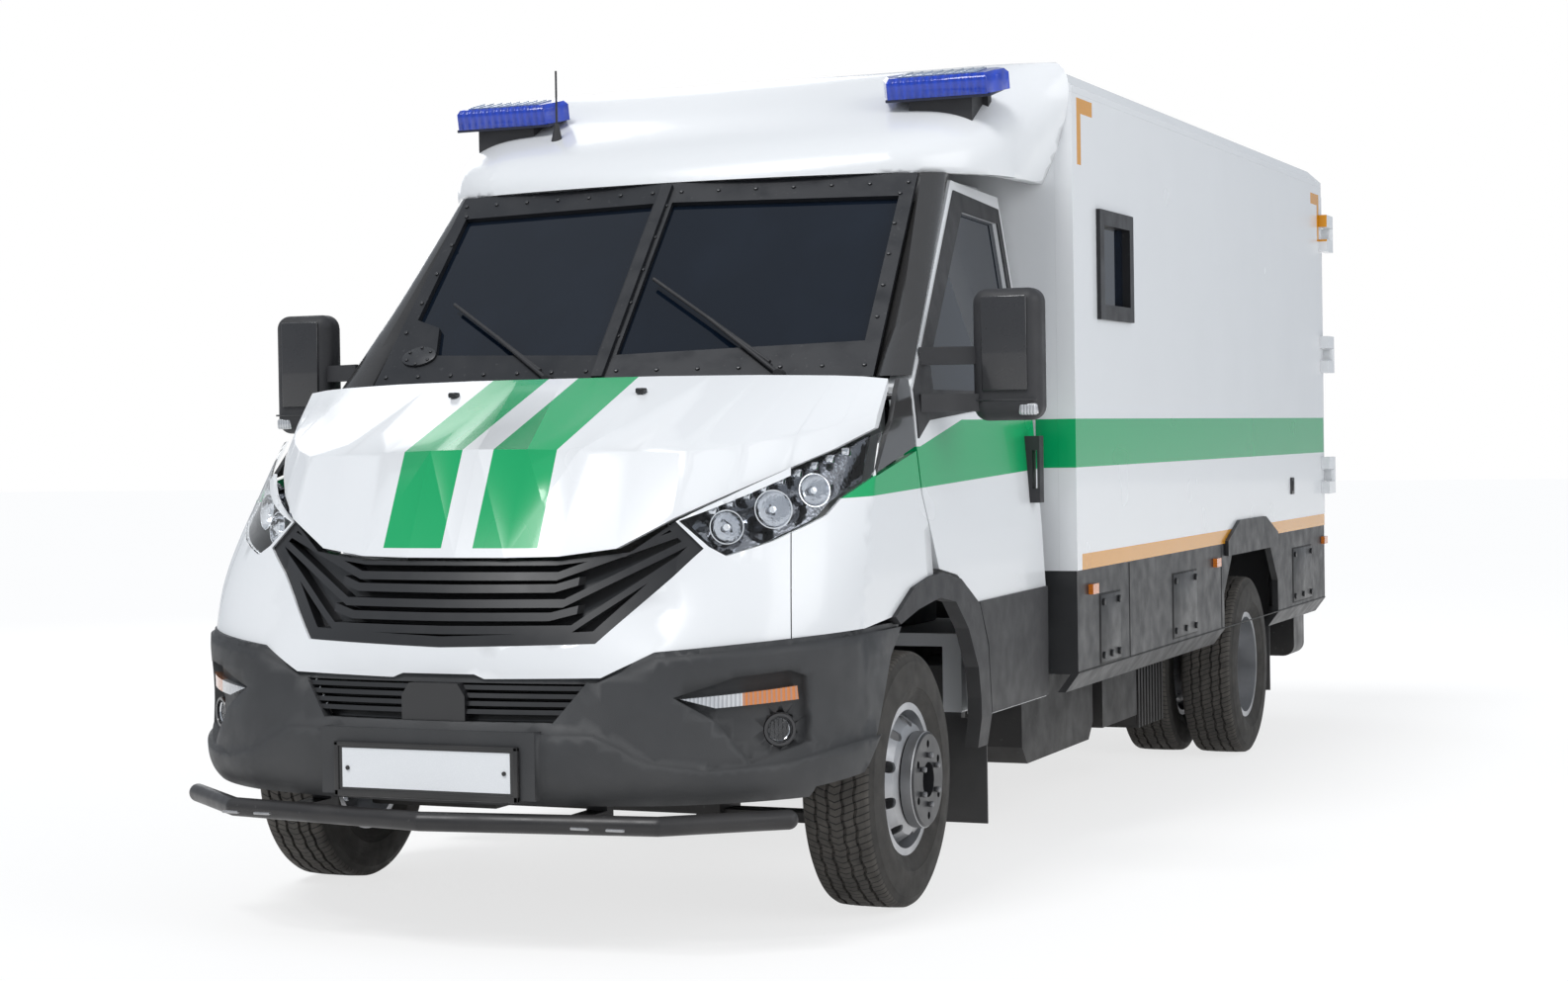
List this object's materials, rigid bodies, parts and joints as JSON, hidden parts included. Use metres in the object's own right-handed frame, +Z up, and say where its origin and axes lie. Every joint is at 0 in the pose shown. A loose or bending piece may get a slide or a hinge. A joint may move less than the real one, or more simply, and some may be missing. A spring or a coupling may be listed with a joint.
{
  "type": "armored cash van",
  "caption": "Armored cash van with a bonneted cab, flat split windscreen, over-cab fairing, beacons and a steel box body on a ladder frame.",
  "frame": {"origin": "middle of the van's length and width, on the ground under the tyres", "axes": "+Z up, the van faces -Y, its left side is +X"},
  "size_m": [2.577, 7.0199, 2.587],
  "materials": {
    "white_paint": "gloss white paint with green and yellow stripes",
    "black_trim": "matt black moulded trim",
    "black_metal": "satin black paint on steel",
    "pillar_black": "glossy dark pillar trim",
    "tinted_glass": "thick dark tinted glass",
    "clear_lens": "clear moulded lamp cover",
    "lamp_housing": "bright reflectors in a dark housing",
    "amber_lens": "amber, clear and red moulded lenses",
    "blue_lens": "deep blue beacon lens",
    "tyre": "ribbed road tyre",
    "rim_paint": "silver painted steel",
    "plate_white": "blank reflective plate in a black frame",
    "chassis_black": "black chassis paint",
    "engine_metal": "cast metal",
    "cab_trim": "dark cab plastics and fabric"
  },
  "bodies": {
    "van": {"nose_panel": "white_paint", "front_wings": "white_paint", "roof_fairing": "white_paint", "cab_structure": "white_paint", "body_floor": "white_paint", "body_roof": "white_paint", "body_side_left": "white_paint", "body_side_right": "white_paint", "body_front_wall": "white_paint", "body_rear_frame": "white_paint", "rear_hinge_brackets": "white_paint", "front_grille": "black_trim", "front_bumper": "black_trim", "bumper_grille": "black_trim", "arch_trims": "black_trim", "roof_fittings": "black_trim", "body_skirts": "black_trim", "wheel_liners_and_flaps": "black_trim", "wipers": "black_trim", "front_guard_bar": "black_metal", "windscreen_frame": "black_metal", "side_window_frames": "black_metal", "rear_bumper": "black_metal", "pillars_and_cowl": "pillar_black", "window_panes": "tinted_glass", "headlamp_lenses": "clear_lens", "headlamp_housings": "lamp_housing", "bumper_lamps": "amber_lens", "body_lamps": "amber_lens", "beacons": "blue_lens", "number_plate": "plate_white", "chassis_frame": "chassis_black", "front_axle": "chassis_black", "rear_axle": "chassis_black", "under_boxes": "chassis_black", "engine_block": "engine_metal", "cab_interior": "cab_trim"},
    "bonnet": {"bonnet": "white_paint"},
    "cab_door_left": {"cab_door_left": "white_paint", "cab_door_glass_left": "tinted_glass", "cab_door_trim_left": "black_trim"},
    "cab_door_right": {"cab_door_right": "white_paint", "cab_door_glass_right": "tinted_glass", "cab_door_trim_right": "black_trim"},
    "rear_door_left": {"rear_door_left": "white_paint"},
    "rear_door_right": {"rear_door_right": "white_paint"},
    "steering_left": {"knuckle_left": "chassis_black"},
    "steering_right": {"knuckle_right": "chassis_black"},
    "front_wheel_left": {"front_tyre_left": "tyre", "front_rim_left": "rim_paint"},
    "front_wheel_right": {"front_tyre_right": "tyre", "front_rim_right": "rim_paint"},
    "rear_wheels_left": {"rear_tyres_left": "tyre", "rear_rims_left": "rim_paint"},
    "rear_wheels_right": {"rear_tyres_right": "tyre", "rear_rims_right": "rim_paint"}
  },
  "joints": [
    {"name": "bonnet_hinge", "type": "hinge", "parent": "van", "child": "bonnet", "pos_m": [0, -2.375, 1.455], "axis": [-1, 0, 0], "range_deg": [0, 60]},
    {"name": "cab_door_left_hinge", "type": "hinge", "parent": "van", "child": "cab_door_left", "pos_m": [1, -2.258, 1], "axis": [0, 0, -1], "range_deg": [0, 70]},
    {"name": "cab_door_right_hinge", "type": "hinge", "parent": "van", "child": "cab_door_right", "pos_m": [-1, -2.258, 1], "axis": [0, 0, 1], "range_deg": [0, 70]},
    {"name": "rear_door_left_hinge", "type": "hinge", "parent": "van", "child": "rear_door_left", "pos_m": [1.112, 3.4, 1.5], "axis": [0, 0, -1], "range_deg": [0, 180]},
    {"name": "rear_door_right_hinge", "type": "hinge", "parent": "van", "child": "rear_door_right", "pos_m": [-1.112, 3.4, 1.5], "axis": [0, 0, 1], "range_deg": [0, 180]},
    {"name": "steer_left", "type": "hinge", "parent": "van", "child": "steering_left", "pos_m": [0.735, -2.36, 0.366], "axis": [0, 0, 1], "range_deg": [-35, 35]},
    {"name": "steer_right", "type": "hinge", "parent": "van", "child": "steering_right", "pos_m": [-0.735, -2.36, 0.366], "axis": [0, 0, 1], "range_deg": [-35, 35]},
    {"name": "front_wheel_left_spin", "type": "hinge", "parent": "steering_left", "child": "front_wheel_left", "pos_m": [0.88, -2.36, 0.366], "axis": [1, 0, 0], "continuous": true},
    {"name": "front_wheel_right_spin", "type": "hinge", "parent": "steering_right", "child": "front_wheel_right", "pos_m": [-0.88, -2.36, 0.366], "axis": [1, 0, 0], "continuous": true},
    {"name": "rear_wheels_left_spin", "type": "hinge", "parent": "van", "child": "rear_wheels_left", "pos_m": [0.835, 1.74, 0.366], "axis": [1, 0, 0], "continuous": true},
    {"name": "rear_wheels_right_spin", "type": "hinge", "parent": "van", "child": "rear_wheels_right", "pos_m": [-0.835, 1.74, 0.366], "axis": [1, 0, 0], "continuous": true}
  ],
  "couplings": [
    {"joint": "steer_right", "follows": "steer_left", "ratio": 1}
  ]
}
